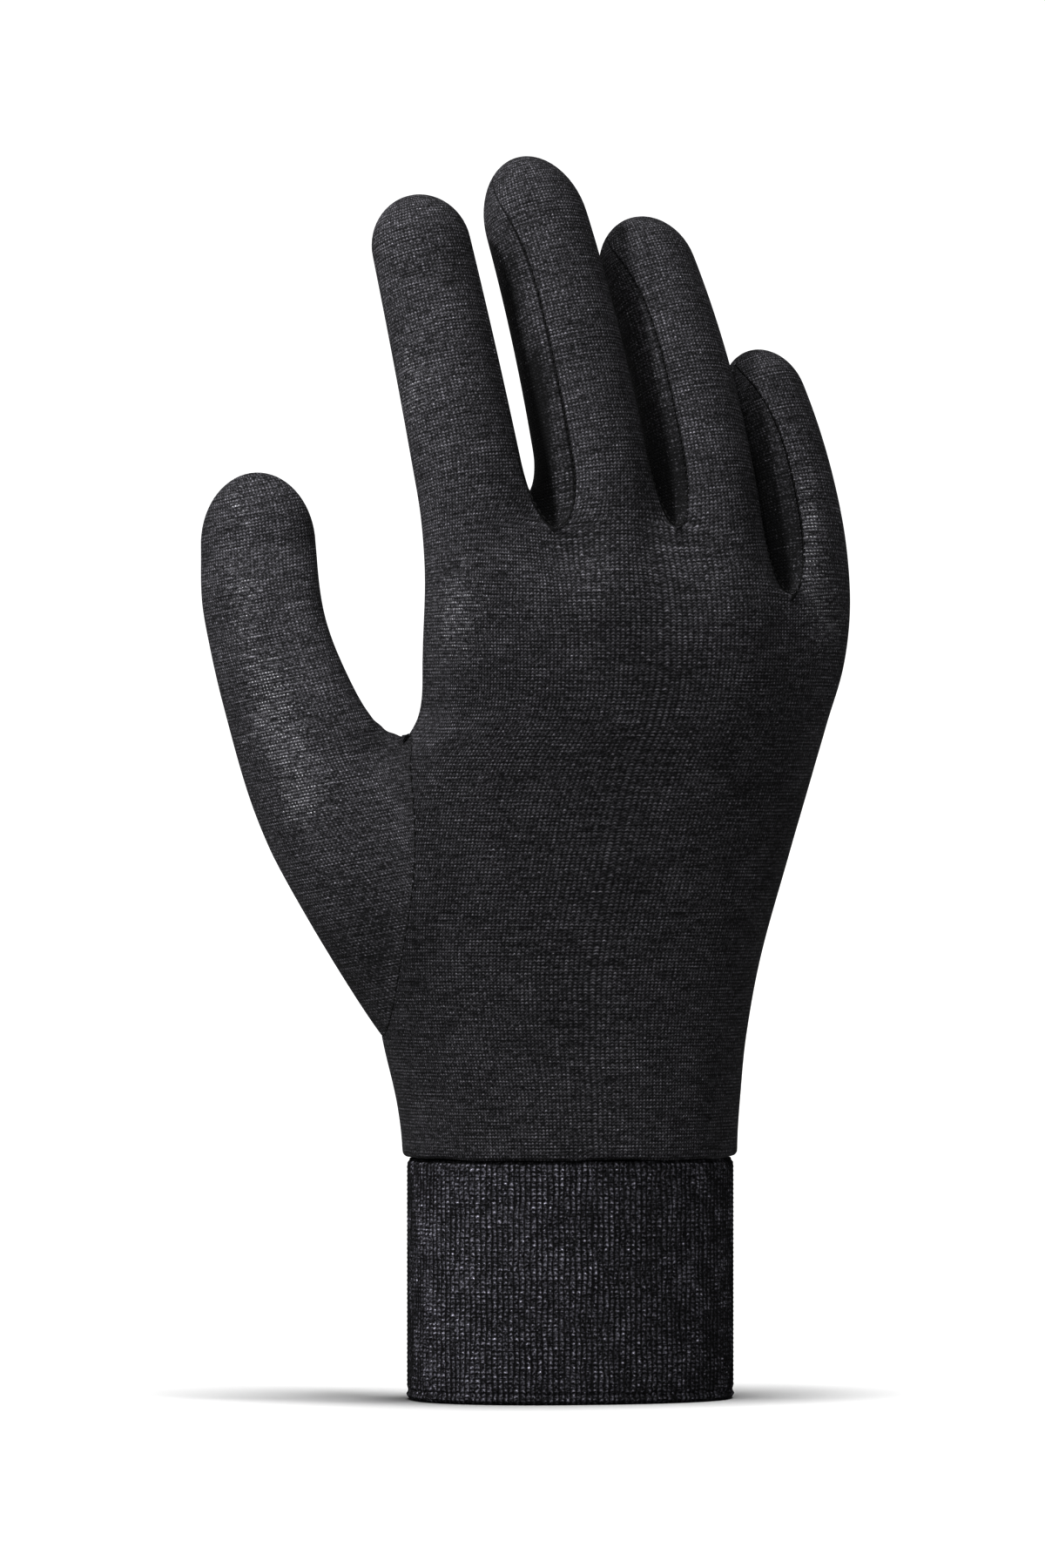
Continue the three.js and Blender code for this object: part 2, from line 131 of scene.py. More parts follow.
# Where the filled glove pulls its cloth tight, so that the stitches open, and where the cloth is darkened
# as painted shade (less than 0): the middle of the place, how far it reaches across and up, and how much
OpenedOrShaded = namedtuple("OpenedOrShaded", "place across up wide tall amount")
opened_or_shaded_places = [
    OpenedOrShaded("thumb_tip", -68, 182, 3, 8, 0.4),
    OpenedOrShaded("thumb_pad", -67, 163, 5, 10, 0.45),
    OpenedOrShaded("thumb_joint", -62, 147, 7, 8, 0.5),
    OpenedOrShaded("thumb_middle", -59, 135, 8, 8, 0.5),
    OpenedOrShaded("thumb_lower", -54, 122, 7, 9, 0.6),
    OpenedOrShaded("thumb_foot", -47, 108, 5, 7, 0.4),
    # Painted shade: the thumb's root and its crotch are darkened
    OpenedOrShaded("thumb_root", -40, 90, 12, 16, -3.5),
    OpenedOrShaded("thumb_crotch", -41, 134, 6, 3.5, -3.0),
    OpenedOrShaded("index_middle", -32, 206, 5, 14, 0.45),
    OpenedOrShaded("index_root", -23, 158, 6, 12, 0.45),
    OpenedOrShaded("knuckles", 0, 164, 34, 13, 0.15),
    OpenedOrShaded("middle_root", 6, 178, 4, 10, 0.2),
    OpenedOrShaded("little_middle", 48.5, 178, 4, 15, 0.55),
    OpenedOrShaded("little_root", 52, 158, 5, 11, 0.65),
    # Painted shadow beside the crotch pockets, and painted shade on the outer palm and the heel
    OpenedOrShaded("middle_edge", 15.5, 187, 2.5, 12, -2.5),
    OpenedOrShaded("ring_edge", 37, 182, 2.4, 13, -2.5),
    OpenedOrShaded("outer_palm", 42, 118, 10, 30, -2.0),
    OpenedOrShaded("heel", 0, 68, 50, 26, -0.6),
]


def stretch_and_shade_at(points, places):
    """Sum of a Gaussian across and up for each place of opened stitches or painted shade."""
    total = np.zeros(len(points))
    for opened_or_shaded in places:
        off_across = (points[:, 0] - opened_or_shaded.across) / opened_or_shaded.wide
        off_up = (points[:, 2] - opened_or_shaded.up) / opened_or_shaded.tall
        total += opened_or_shaded.amount * np.exp(-(off_across**2) - off_up**2)
    return total


def stitch(name, grids, wall=0, extra_places=()):
    """One mesh from several grids of (points, knit place), whose touching edges are sewn together.

    The knit place is the distance across the wales and along them in mm, which becomes a UV map. A wall
    gives the cloth that thickness on its inner side, and extra places open the stitches of this piece alone
    or darken it as painted shade.
    """
    points, places, faces, count = [], [], [], 0
    for cloth, place in grids:
        faces.append(grid_faces(cloth.shape[:-1], count))
        points.append(cloth.reshape(-1, 3))
        places.append(np.broadcast_to(place, cloth.shape[:-1] + (2,)).reshape(-1, 2))
        count += cloth[..., 0].size
    points, places, faces = (np.concatenate(part) for part in (points, places, faces))
    mesh = bpy.data.meshes.new(name)
    mesh.vertices.add(len(points))
    mesh.vertices.foreach_set("co", (points * mm).ravel())
    mesh.loops.add(faces.size)
    mesh.loops.foreach_set("vertex_index", faces.ravel())
    mesh.polygons.add(len(faces))
    mesh.polygons.foreach_set("loop_start", np.arange(0, faces.size, 4))
    mesh.update(calc_edges=True)
    mesh.uv_layers.new(name="knit").uv.foreach_set("vector", places[faces.ravel()].ravel())
    sewing = bmesh.new()
    sewing.from_mesh(mesh)
    bmesh.ops.remove_doubles(sewing, verts=sewing.verts, dist=sewn_within * mm)
    bmesh.ops.dissolve_degenerate(sewing, edges=sewing.edges, dist=crushed_edge * mm)
    sewing.to_mesh(mesh)
    sewing.free()
    mesh.shade_smooth()
    flat = np.empty(len(mesh.vertices) * 3, np.float32)
    mesh.vertices.foreach_get("co", flat)
    opened_or_shaded = mesh.attributes.new("stretch_and_shade", "FLOAT", "POINT")
    places = [*opened_or_shaded_places, *extra_places]
    opened_or_shaded.data.foreach_set("value", stretch_and_shade_at(flat.reshape(-1, 3) / mm, places).astype(np.float32))
    piece = bpy.data.objects.new(name, mesh)
    bpy.context.scene.collection.objects.link(piece)
    if wall:
        thickness = piece.modifiers.new("cloth wall", "SOLIDIFY")
        thickness.thickness = wall * mm
        thickness.offset = -1
    return piece


def cuff_skins():
    """Outside and inside of the cuff as one grid, from its top edge down, round the hem and up inside.

    The outside is pushed in by a cosine for the hollow between two ribs, by a small step between two
    beads of a rib, and by a Gaussian for each tuck. The beads fade in the hollows.
    """
    fine = np.linspace(0, 360, outline_steps + 1)
    half_width, half_depth = cuff_width / 2, cuff_depth / 2
    length = distance(ring(np.zeros((1, 3)), half_width, half_depth, 0, fine), 0)
    ribs = round(length[-1] / rib_pitch)
    places = np.linspace(0, 1, ribs * samples_per_rib + 1)
    around = np.interp(places * length[-1], length, fine)
    courses = round(cuff_height / rib_course)
    height = np.linspace(cuff_height, hem_round, 2 * courses + 1)
    arc = np.radians(np.linspace(0, 180, hem_rows))
    hem_middle = rib_wall / 2
    out = np.concatenate([
        np.zeros_like(height),
        hem_middle * (1 - np.cos(arc[1:-1])),
        np.full(inner_rows + 1, rib_wall),
    ])
    rise = np.concatenate([
        height,
        hem_round * (1 - np.sin(arc[1:-1])),
        np.linspace(hem_round, cuff_height, inner_rows + 1),
    ])
    hollow = rib_relief * (0.5 - 0.5 * np.cos(2 * np.pi * ribs * places))
    bead = bead_relief * (np.arange(len(height)) % 2)
    tucked = sum(tuck.deep * np.exp(-(((rise - tuck.up) / tuck.tall) ** 2)) for tuck in cuff_tucks)
    ribbed = np.where(out <= 0, 1, np.clip(1 - out / hem_middle, 0, 1))
    pushed = out[:, None] + hollow * ribbed[:, None] + tucked[:, None] * (out[:, None] <= 0)
    pushed[: len(height)] += bead[:, None] * (1 - bead_fade * hollow / rib_relief)
    centre = np.zeros((len(out), 1, 3))
    centre[..., 2] = rise[:, None]
    cloth = ring(centre, half_width - pushed, half_depth - pushed, cuff_turn, around)
    along = np.concatenate([[0], np.cumsum(np.hypot(np.diff(out), np.diff(rise)))])
    place = np.stack(np.broadcast_arrays(places * ribs * rib_pitch, -along[:, None]), -1)
    lid = cloth[[0, -1]][::-1]
    return [(cloth[::-1], place[::-1]), (lid[::-1], place[[0, -1]])]


def dye(hex_colour):
    """Linear red, green, blue and alpha of an sRGB hex colour."""
    value = np.array([int(hex_colour[k:k + 2], 16) / 255 for k in (0, 2, 4)])
    linear = np.where(value <= 0.04045, value / 12.92, ((value + 0.055) / 1.055) ** 2.4)
    return (*linear, 1)


def put(material, kind, inputs=None, **settings):
    """Adds a node to a material with its settings, and its inputs as values or other nodes' outputs."""
    node = material.node_tree.nodes.new(kind)
    for name, value in settings.items():
        setattr(node, name, value)
    for socket, value in (inputs or {}).items():
        if isinstance(value, bpy.types.NodeSocket):
            material.node_tree.links.new(value, node.inputs[socket])
        else:
            node.inputs[socket].default_value = value
    return node


def blank(name):
    """A new material that has no nodes yet."""
    material = bpy.data.materials.new(name)
    material.use_nodes = True
    material.node_tree.nodes.clear()
    return material


# Streaks in the knit: how long one is across the wales and along them in mm, and how fine its detail is
Streak = namedtuple("Streak", "across along detail")
wander_streak = Streak(5.0, 9.0, 2.0)
slub_streak = Streak(8.0, 0.4, 3.0)
broad_streak = Streak(16.0, 9.0, 2.0)
thick_streak = Streak(10.0, 0.38, 1.0)
fibre_streak = Streak(0.6, 0.45, 2.0)
open_streak = Streak(2.4, 1.0, 2.0)

# Tones of the knit, where 0 is its dark colour and 1 its light one, and how its stitches open. Thick yarn
# and bright specks are where a streak is above rare.
mean_tone = 0.46
least_tone = 0.04
broad_tone = 0.25
thick_tone = -2.5
# How much the painted shade darkens the cloth where its stretch_and_shade attribute is below 0
painted_shade_tone = 0.05
# How much a stitch's height lightens it, which paints shade into the hollows between stitches
relief_shade_tone = 1.5
rare = 0.14
contrast = 1.7
slub_height = 0.9
open_patches = 1.4
closed_below = 0.3
hole_sharpness = 8.0


def knitted(
    name, wale, course, slant, relief, ridge, beading, wander, dark, light, gap, uneven, chance, grain,
    specks, open_stitch,
):
    """Knit of one yarn: stitches in a grid of wales and courses, each a slanted bead.

    The bead is a sine along the wale whose phase slants towards the wale's edges, times a hump across
    the wale. The bead's height also lightens the colour, which paints shade into the hollows between
    stitches. The wales wander, each stitch has a random shade and a grain of fibres with a few bright
    specks, and slubs of thick and thin yarn run along the courses. Where the cloth's stretch_and_shade
    attribute is above 0 the holes between its stitches open and show pale, and where it is below 0 the
    cloth is darkened as painted shade.
    """
    cloth = blank(name)
    place = put(cloth, "ShaderNodeUVMap", uv_map="knit").outputs["UV"]
    stretch_and_shade = put(cloth, "ShaderNodeAttribute", attribute_name="stretch_and_shade").outputs["Fac"]

    def maths(operation, *values, clamp=False):
        inputs = dict(enumerate(values))
        return put(cloth, "ShaderNodeMath", inputs, operation=operation, use_clamp=clamp).outputs[0]

    def streaks(streak):
        scale = (1 / streak.across, 1 / streak.along, 1)
        scaled = put(cloth, "ShaderNodeVectorMath", {0: place, 1: scale}, operation="MULTIPLY")
        noise = put(cloth, "ShaderNodeTexNoise", {
            "Vector": scaled.outputs[0],
            "Scale": 1.0,
            "Detail": streak.detail,
            "Roughness": 0.6,
        })
        return maths("SUBTRACT", noise.outputs["Fac"], 0.5)

    apart = put(cloth, "ShaderNodeSeparateXYZ", {"Vector": place})
    wandering = maths("MULTIPLY", streaks(wander_streak), wander)
    wales = maths("DIVIDE", maths("ADD", apart.outputs["X"], wandering), wale)
    to_edge = maths("MULTIPLY", maths("ABSOLUTE", maths("SUBTRACT", maths("FRACT", wales), 0.5)), 2)
    slanted = maths("MULTIPLY_ADD", to_edge, slant, maths("DIVIDE", apart.outputs["Y"], course))
    bead = maths("MULTIPLY_ADD", maths("SINE", maths("MULTIPLY", slanted, 2 * np.pi)), 0.5, 0.5)
    hump = maths("SUBTRACT", 1, maths("MULTIPLY", maths("POWER", to_edge, 2), ridge))
    height = maths("MULTIPLY", hump, maths("MULTIPLY_ADD", bead, beading, 1 - beading))
    number = put(cloth, "ShaderNodeCombineXYZ", {
        "X": maths("FLOOR", wales),
        "Y": maths("FLOOR", slanted),
    }).outputs[0]
    random = put(cloth, "ShaderNodeTexWhiteNoise", {"Vector": number}, noise_dimensions="2D")
    slub = streaks(slub_streak)
    fibre = streaks(fibre_streak)
    tone = maths("MULTIPLY_ADD", slub, uneven, mean_tone)
    tone = maths("MULTIPLY_ADD", streaks(broad_streak), broad_tone, tone)
    thick_yarn = maths("SUBTRACT", streaks(thick_streak), rare, clamp=True)
    tone = maths("MULTIPLY_ADD", thick_yarn, thick_tone * uneven, tone)
    tone = maths("MULTIPLY_ADD", maths("SUBTRACT", random.outputs["Value"], 0.5), chance, tone)
    tone = maths("MULTIPLY_ADD", fibre, grain, tone)
    tone = maths("MULTIPLY_ADD", maths("SUBTRACT", fibre, rare, clamp=True), specks, tone)
    # Painted shade: where the stretch_and_shade attribute is below 0 the tone is darkened
    painted_shade = maths("MINIMUM", stretch_and_shade, 0)
    tone = maths("MAXIMUM", maths("MULTIPLY_ADD", painted_shade, painted_shade_tone, tone), least_tone)
    # Painted shade in the hollows between stitches: the tone rises with a stitch's height, from gap in the
    # hollows
    relief_shade = maths("MULTIPLY_ADD", height, relief_shade_tone, gap)
    shade = maths("POWER", maths("MULTIPLY", tone, relief_shade), contrast)
    colour = put(cloth, "ShaderNodeMix", {
        "Factor": shade,
        "A": dye(dark),
        "B": dye(light),
    }, data_type="RGBA", clamp_factor=False).outputs["Result"]
    patches = maths("MULTIPLY", streaks(open_streak), open_patches)
    opened = maths("MULTIPLY_ADD", stretch_and_shade, open_stitch, patches)
    opened = maths("SUBTRACT", opened, closed_below, clamp=True)
    hole = maths("MULTIPLY", maths("SUBTRACT", 1, bead), to_edge)
    hole = maths("MULTIPLY", maths("SUBTRACT", hole, 0.5), hole_sharpness, clamp=True)
    colour = put(cloth, "ShaderNodeMix", {
        "Factor": maths("MULTIPLY", hole, opened),
        "A": colour,
        "B": dye("e4e4e8"),
    }, data_type="RGBA").outputs["Result"]
    bump = put(cloth, "ShaderNodeBump", {
        "Strength": 1.0,
        "Distance": relief * mm,
        "Height": maths("MULTIPLY_ADD", slub, slub_height, height),
    })
    surface = put(cloth, "ShaderNodeBsdfPrincipled", {
        "Base Color": colour,
        "Roughness": 0.9,
        "Specular IOR Level": 0.15,
        "Normal": bump.outputs[0],
    })
    put(cloth, "ShaderNodeOutputMaterial", {"Surface": surface.outputs[0]})
    return cloth


# Rib of a thick charcoal yarn: matt, with a pebbled grain whose beads stand up in the bump and are painted
# lighter than the painted shade in the hollows between them.
rib_knit = knitted(
    "charcoal rib knit", wale=rib_pitch, course=rib_course, slant=0.35, relief=0.3, ridge=1.0, beading=0.5,
    wander=1.5, dark="040405", light="5e5d64", gap=0.0, uneven=0.4, chance=0.35, grain=3.0, specks=6.0,
    open_stitch=0.0,
)
rib_cuff = stitch("knitted_cuff", cuff_skins())
rib_cuff.data.materials.append(rib_knit)
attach(rib_cuff, "root")
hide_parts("rib_cuff")

# BACK AND PALM
# Two pieces of fine jersey, cut to the hand and sewn round the edge. Stretch fills them out as on a
# hand. They hang over the top of the cuff by a small fold, and each finger is a strip of the same cloth.

# The cloth, in mm. Its seams are drawn all but closed, as sewn, where the CAD solids keep a wider gap.
seam_gap = 0.03
knit_wall = 1.2
cuff_seam = 0.3
cloth_step = 0.85

# The hand, in mm, and its turn and side seams in degrees round it
hand_length = 128
hand_width = 93.4
knuckle_depth = 25.4
hand_turn = 24
hand_forward = 10.7
hand_shift = 13.2
body_bulge = 0.5
side_seam = 95
hand_foot = cuff_height + cuff_seam
side_gap = np.degrees(seam_gap / knuckle_depth)

# The fingers, the crotches between them, and the seams of their side strips
finger_flatness = 0.94
finger_taper = 0.12
finger_blend = 20
crotch_reach = 13
crotch_spread = 1.3
crotch_suddenness = 0.4
web_rise = 6.5
panel_edge = 52
strip_taper = 1.5
strip_rounding = 3
tip_pinhole = 0.02

# The thumb's oval opening: its low end and its length in mm, and its reach round the hand in degrees
hole_low = 24.8
hole_length = 61
hole_front = 35
hole_back = 40

# Grid of a panel: the step of the columns beside a seam in mm, where the inner ones start in such steps,
# how crowded the columns are, how the rows crowd at the crotch, and the rows of a finger's round end
edge_step = 0.22
inner_start = 3.5
column_crowding = 1.25
row_crowding = 1.3
cap_rows = 16

# Edges of a panel in mm: the radius of its rolled seams and of the fold at its foot, and how the foot
# swells, waves and hangs, each with the height at which that dies away
seam_roll = 0.3
foot_roll = 1.3
foot_roll_share = 0.8
foot_swell = 0.2
foot_swell_up = 3.2
foot_wave = 0.08
foot_drop = 0.25
foot_wave_up = 2
pucker_relief = 0.11
pucker_start = 0.8
pucker_up = 2.5
relief_fade = 0.6
knit_per_degree = 0.62

# Dips and bells of the hand: how far the middle is below the crotch or the finger's foot, how far it
# reaches up and down in mm and round the hand in degrees, and how far it stands out on back and palm.
Swelling = namedtuple("Swelling", "below tall wide on_back on_palm")
crotch_dip = Swelling(7, 11, 7, -1.1, -1.1)
knuckle_bell = Swelling(13, 10, 9, 0.7, 0.2)

# How far the hand has widened, thinned, shifted, come forward and turned between the cuff and the knuckles
HandSection = namedtuple("HandSection", "up widened thinned shifted forward turned")
hand_sections = [
    HandSection(0.0, 0.0, 0.0, 0.0, 0.0, 0.0),
    HandSection(0.09, 0.11, 0.16, -0.03, 0.09, 0.12),
    HandSection(0.19, 0.3, 0.35, -0.09, 0.21, 0.28),
    HandSection(0.32, 0.56, 0.48, -0.07, 0.37, 0.44),
    HandSection(0.48, 0.81, 0.58, 0.18, 0.62, 0.67),
    HandSection(0.62, 0.94, 0.65, 0.5, 0.81, 0.85),
    HandSection(0.7, 0.83, 0.69, 0.83, 0.91, 0.92),
    HandSection(0.79, 0.93, 0.79, 0.96, 1.04, 1.0),
    HandSection(0.9, 1.0, 0.96, 1.0, 1.08, 1.0),
    HandSection(1.0, 0.99, 1.12, 0.91, 0.86, 1.0),
    HandSection(1.12, 0.96, 1.22, 0.83, 0.6, 1.0),
]

# The sides of the hand and the crotches: degrees round the hand, and height as a share of it
Fork = namedtuple("Fork", "name around up")
forks = [
    Fork("radial_side", -side_seam, 0.96),
    Fork("index_middle", -24, 1.0),
    Fork("middle_ring", 5, 1.003),
    Fork("ring_little", 37, 0.898),
    Fork("ulnar_side", side_seam, 0.82),
]

# Each finger: its place across the hand as a share of the half width, the roll of its back, its lean to
# the side and its curl at the base and the tip in degrees, and its round end as a share of the width
Finger = namedtuple("Finger", "name length width across roll lean curl_base curl_tip cap")
fingers = [
    Finger("index", 72.5, 21.2, -0.715, 20, -7.5, 10, 17, 0.5),
    Finger("middle", 79.5, 22.4, -0.132, 34, -4, 9, 25, 0.66),
    Finger("ring", 75.5, 21.2, 0.385, 36, -1.2, 8, 34, 0.56),
    Finger("little", 58, 18.6, 0.835, 55, 4, 5, 31, 0.56),
]
last_finger = len(fingers) - 1


def mix(a, b, share):
    return a + (b - a) * share


def smooth(value, low, high):
    """0 below low and 1 above high, with a level start and end."""
    t = np.clip((value - low) / (high - low), 0, 1)
    return t * t * (3 - 2 * t)


def follow(table, name, at):
    """Smooth curve through one column of a table, against its first column.

    Each span is a cubic whose slope at a row is that of the chord across the row's neighbours.
    """
    place = np.array([row[0] for row in table], float)
    value = np.array([getattr(row, name) for row in table], float)
    slope = np.empty_like(value)
    slope[1:-1] = (value[2:] - value[:-2]) / (place[2:] - place[:-2])
    slope[0] = (value[1] - value[0]) / (place[1] - place[0])
    slope[-1] = (value[-1] - value[-2]) / (place[-1] - place[-2])
    at = np.clip(at, place[0], place[-1])
    k = np.clip(np.searchsorted(place, at, side="left") - 1, 0, len(place) - 2)
    span = place[k + 1] - place[k]
    u = (at - place[k]) / span
    start = slope[k] * u * (1 - u) ** 2
    end = slope[k + 1] * u * u * (1 - u)
    return mix(value[k], value[k + 1], u * u * (3 - 2 * u)) + span * (start - end)


def hand_section(height):
    """Centre, half width, half depth and turn of the hand at a height."""
    up = (height - hand_foot) / hand_length
    centre = np.stack(np.broadcast_arrays(
        follow(hand_sections, "shifted", up) * hand_shift,
        -follow(hand_sections, "forward", up) * hand_forward,
        height,
    ), -1)
    half_width = mix(cuff_width / 2 + body_bulge, hand_width / 2, follow(hand_sections, "widened", up))
    half_depth = mix(cuff_depth / 2 + body_bulge, knuckle_depth / 2, follow(hand_sections, "thinned", up))
    turn = mix(cuff_turn, hand_turn, follow(hand_sections, "turned", up))
    return centre, half_width, half_depth, turn


def hand_point(height, around):
    return ring(*hand_section(height), around)


def hand_out(height, around):
    """Unit normal of the hand: the cross product of its slopes round and up, each over a small step."""
    step = 0.05
    slope_around = hand_point(height, around + step) - hand_point(height, around - step)
    slope_up = hand_point(height + step, around) - hand_point(height - step, around)
    slope = np.cross(slope_around, slope_up)
    return slope / np.maximum(np.linalg.norm(slope, axis=-1, keepdims=True), 1e-9)


def height_at(up):
    return hand_foot + up * hand_length


def finger_foot(i):
    return height_at((forks[i].up + forks[i + 1].up) / 2)


def finger_tip(i):
    return finger_foot(i) + fingers[i].length


def cap_length(i):
    return fingers[i].cap * fingers[i].width


def strip_end(i):
    """Height where a finger's side strips end in a point, part of the way up its round end."""
    return finger_tip(i) - cap_length(i) * (1 - np.sin(np.pi / 4))


def finger_point(i, height, around):
    """Surface of a finger: an arc that bends from the curl at its base to that at its tip, with an oval
    section that tapers, and is closed by a half round end."""
    finger = fingers[i]
    centre, half_width, _, turn = hand_section(np.array(finger_foot(i)))
    spin, roll, lean = np.radians((turn, finger.roll, finger.lean))
    start = centre + finger.across * half_width * np.array([np.cos(spin), np.sin(spin), 0])
    side = np.array([np.cos(roll), np.sin(roll), 0])
    up = np.array([0, 0, 1])
    palmward = np.array([-np.sin(roll), np.cos(roll), 0])
    straight = up * np.cos(lean) + side * np.sin(lean)
    side = side * np.cos(lean) - up * np.sin(lean)
    risen = height - finger_foot(i)
    first = np.radians(finger.curl_base)
    bend = np.radians(finger.curl_tip - finger.curl_base) / finger.length
    curl = first + bend * risen
    into_cap = np.clip((risen - finger.length + cap_length(i)) / cap_length(i), 0, 1)
    narrowed = np.sqrt(1 - into_cap**2)
    half = finger.width / 2 * (1 + finger_taper * (0.5 - risen / finger.length))
    across = half * narrowed * np.sin(np.radians(around))
    front = half * finger_flatness * narrowed * np.cos(np.radians(around))
    along_straight = (np.sin(curl) - np.sin(first)) / bend + front * np.sin(curl)
    along_palmward = (np.cos(first) - np.cos(curl)) / bend - front * np.cos(curl)
    return (
        start
        + straight * along_straight[..., None]
        + palmward * along_palmward[..., None]
        + side * across[..., None]
    )


def finger_share(above_fork, edge):
    """Share of the finger in the blend of hand and finger: gentle along the middle of the finger, and
    at a crotch it starts at once, which gives the crotch its U."""
    gentle = smooth(above_fork, -finger_blend, finger_blend)
    sudden = np.sin(np.pi / 2 * np.clip(above_fork / crotch_reach, 0, 1)) ** crotch_suddenness
    return mix(gentle, sudden, edge**crotch_spread)


def strip_edge(i, height):
    """Angle on the finger of the seam of its side strip, which narrows to nothing near the tip."""
    end = strip_end(i)
    start = end - strip_taper * fingers[i].width
    share = 1 - np.clip((height - start) / (end - start), 0, 1) ** strip_rounding
    return mix(90, panel_edge, share)


def gap_angle(i, height):
    """Half of the seam's gap as an angle on the finger, of 30 degrees at most."""
    into_cap = np.clip((height - finger_tip(i) + cap_length(i)) / cap_length(i), 0, 1)
    radius = fingers[i].width / 2 * np.sqrt(1 - into_cap**2)
    return np.degrees(np.arcsin(np.minimum(seam_gap / 2 / np.maximum(radius, seam_gap), 0.5)))


def hole_reach(height):
    """1 at the middle of the thumb's oval opening and 0 at its ends."""
    off = (height - height_at(0) - hole_low - hole_length / 2) / (hole_length / 2)
    return np.sqrt(np.maximum(1 - off**2, 0))


def hand_edges(i, palm, height):
    """Angles round the hand where a finger's strip of a panel starts and ends."""
    reach = hole_reach(height)
    if not palm:
        start = -side_seam + side_gap + reach * hole_front if i == 0 else forks[i].around
        end = side_seam - side_gap if i == last_finger else forks[i + 1].around
    else:
        start = side_seam + side_gap if i == last_finger else 180 - forks[i + 1].around
        end = 360 - side_seam - side_gap - reach * hole_back if i == 0 else 180 - forks[i].around
    return start, end


def finger_edges(i, palm, height):
    """Angles round the finger where its strip of a panel starts and ends."""
    gap = gap_angle(i, height)
    first_edge = side_seam if i == 0 else strip_edge(i, height)
    last_edge = side_seam if i == last_finger else strip_edge(i, height)
    if not palm:
        return gap - first_edge, last_edge - gap
    return 180 - last_edge + gap, 180 + first_edge - gap


def round_in(offset, radius):
    """How far a cloth's edge is rolled in: a quarter circle of that radius, offset mm from the seam."""
    off = np.clip(1 - offset / radius, 0, 1)
    return radius * (1 - np.sqrt(1 - off**2))


def hand_relief(height, around, palm):
    """How far the cloth stands out from the plain hand, in mm.

    Bells over the knuckles and dips below the crotches, each a Gaussian up and round the hand, and short
    puckers above the cuff's seam, which are waves round the hand that die away upwards.
    """
    face = 180 - around if palm else around
    raised = np.zeros(np.broadcast(height, around).shape)
    places = [(crotch_dip, fork.around, height_at(fork.up)) for fork in forks[1:-1]]
    for i in range(len(fingers)):
        places.append((knuckle_bell, mix(forks[i].around, forks[i + 1].around, 0.5), finger_foot(i)))
    for swelling, middle, top in places:
        up = (height - top + swelling.below) / swelling.tall
        out = swelling.on_palm if palm else swelling.on_back
        raised += out * np.exp(-(((face - middle) / swelling.wide) ** 2) - up**2)
    low = height - hand_foot
    pucker = np.sin(np.radians(around) * 31) + 0.6 * np.sin(np.radians(around) * 47 + 1)
    return raised + pucker_relief * pucker * np.exp(-low / pucker_up) * smooth(low, 0, pucker_start)


def panel_surface(i, palm, height, fork, column, crotch):
    """Points of a finger's strip of a panel: the hand's section blended with the finger's.

    Column runs 0 to 1 across the strip, and crotch says of each side whether it ends in a crotch.
    """
    hand_around = mix(*hand_edges(i, palm, height), column)
    finger_around = mix(*finger_edges(i, palm, height), column)
    edge = np.where(column < 0.5, crotch[0], crotch[1]) * np.abs(column * 2 - 1)
    share = finger_share(height - fork, edge)[..., None]
    cloth = mix(hand_point(height, hand_around), finger_point(i, height, finger_around), share)
    return cloth, share, hand_around, finger_around


